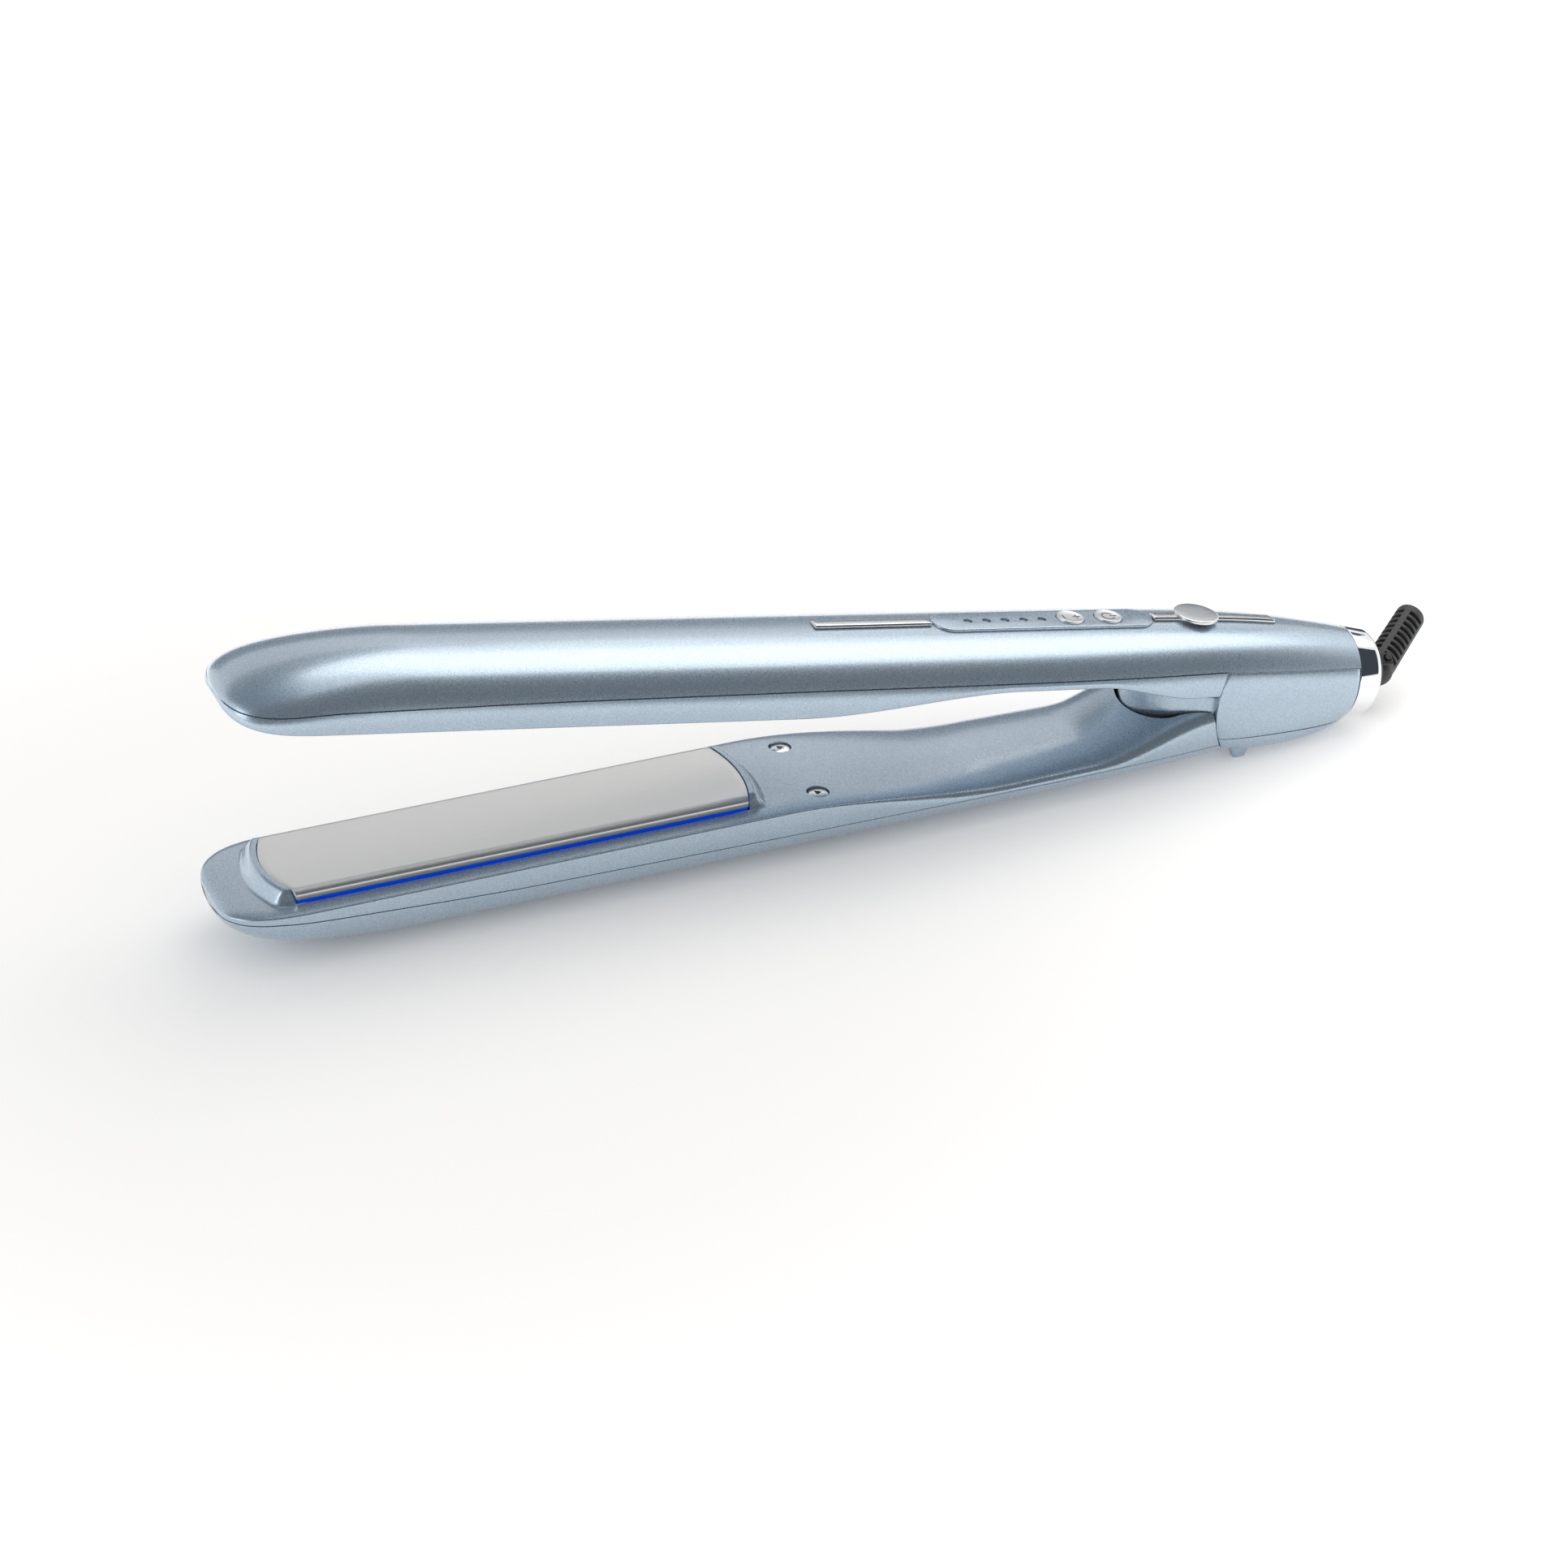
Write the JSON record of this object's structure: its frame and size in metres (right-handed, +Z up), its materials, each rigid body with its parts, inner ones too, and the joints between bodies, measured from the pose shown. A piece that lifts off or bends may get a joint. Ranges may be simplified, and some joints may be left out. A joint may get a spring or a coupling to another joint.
{
  "type": "hair straightener",
  "caption": "Hair straightener with long sprung arms, smooth floating heating plates, touch keys, a sliding closing lock and a swivelling cord outlet.",
  "frame": {"origin": "centre of the part's outline on the surface it lies on", "axes": "+Z up, +X along the lower arm from the tips to the cord outlet, +Y to the side that faces away in the picture"},
  "size_m": [0.3202, 0.0378, 0.072],
  "materials": {
    "pearl_blue_paint": "pearl metallic pale blue lacquer",
    "coated_plate": "smooth satin coating",
    "blue_resin": "moulded, semi-gloss",
    "chrome": "mirror bright",
    "satin_chrome": "satin with bright edges",
    "silver_key": "silver lacquer",
    "steel": "bright",
    "dark_nylon": "moulded",
    "black_rubber": "matt",
    "ceramic": "unglazed",
    "light_guide": "clear",
    "circuit_board": "solder mask"
  },
  "bodies": {
    "upper_arm": {"upper_outer_shell": "pearl_blue_paint", "upper_inner_shell": "pearl_blue_paint", "upper_screw_left": "steel", "upper_screw_right": "steel", "upper_plate_spring": "steel", "hinge_block": "pearl_blue_paint", "hinge_pin": "steel", "hinge_spring": "steel", "side_panel_left": "pearl_blue_paint", "side_panel_right": "pearl_blue_paint", "rear_bottom_cover": "pearl_blue_paint", "rest_foot_left": "pearl_blue_paint", "rest_foot_right": "pearl_blue_paint", "end_ring": "chrome", "trim_bar": "satin_chrome", "control_pad": "pearl_blue_paint", "led_light_guide": "light_guide", "control_board": "circuit_board", "temperature_switch": "dark_nylon", "power_switch": "dark_nylon", "lock_rail": "satin_chrome"},
    "lower_arm": {"lower_outer_shell": "pearl_blue_paint", "lower_inner_shell": "pearl_blue_paint", "lower_screw_left": "steel", "lower_screw_right": "steel", "lower_plate_spring": "steel", "hinge_lug": "dark_nylon"},
    "upper_heating_plate": {"upper_plate": "coated_plate", "upper_plate_carrier": "blue_resin", "upper_heater": "ceramic", "upper_thermal_fuse": "steel"},
    "lower_heating_plate": {"lower_plate": "coated_plate", "lower_plate_carrier": "blue_resin", "lower_heater": "ceramic", "lower_thermal_fuse": "steel"},
    "temperature_key": {"temperature_button": "silver_key"},
    "power_key": {"power_button": "silver_key"},
    "lock_slider": {"lock_knob": "satin_chrome", "lock_slide": "dark_nylon"},
    "cord_swivel": {"swivel_cup": "dark_nylon", "tilt_pin_upper": "steel", "tilt_pin_lower": "steel"},
    "cord_relief": {"strain_relief": "black_rubber"}
  },
  "joints": [
    {"name": "arm_hinge", "type": "hinge", "parent": "upper_arm", "child": "lower_arm", "pos_m": [0.10817, 0, 0.016], "axis": [0, 1, 0], "range_deg": [0, 9.9], "stiffness_Nm_per_rad": 0.6, "springref_deg": -40.11},
    {"name": "upper_plate_float", "type": "slide", "parent": "upper_arm", "child": "upper_heating_plate", "axis": [0.1719, 0, 0.9851], "range_m": [0, 0.0008], "stiffness_N_per_m": 4000, "springref_m": -0.001},
    {"name": "lower_plate_float", "type": "slide", "parent": "lower_arm", "child": "lower_heating_plate", "axis": [0, 0, -1], "range_m": [0, 0.0008], "stiffness_N_per_m": 4000, "springref_m": -0.001},
    {"name": "temperature_press", "type": "slide", "parent": "upper_arm", "child": "temperature_key", "axis": [-0.1719, 0, -0.9851], "range_m": [0, 0.0005], "stiffness_N_per_m": 1500, "springref_m": -0.0005},
    {"name": "power_press", "type": "slide", "parent": "upper_arm", "child": "power_key", "axis": [-0.1719, 0, -0.9851], "range_m": [0, 0.0005], "stiffness_N_per_m": 1500, "springref_m": -0.0005},
    {"name": "lock_travel", "type": "slide", "parent": "upper_arm", "child": "lock_slider", "axis": [0.9851, 0, -0.1719], "range_m": [0, 0.005]},
    {"name": "cord_turn", "type": "hinge", "parent": "upper_arm", "child": "cord_swivel", "pos_m": [0.14393, 0, 0.00976], "axis": [0.9851, 0, -0.1719], "continuous": true},
    {"name": "cord_tilt", "type": "hinge", "parent": "cord_swivel", "child": "cord_relief", "pos_m": [0.14393, 0, 0.00976], "axis": [0.142, -0.5635, 0.8138], "range_deg": [-52, 0]}
  ]
}
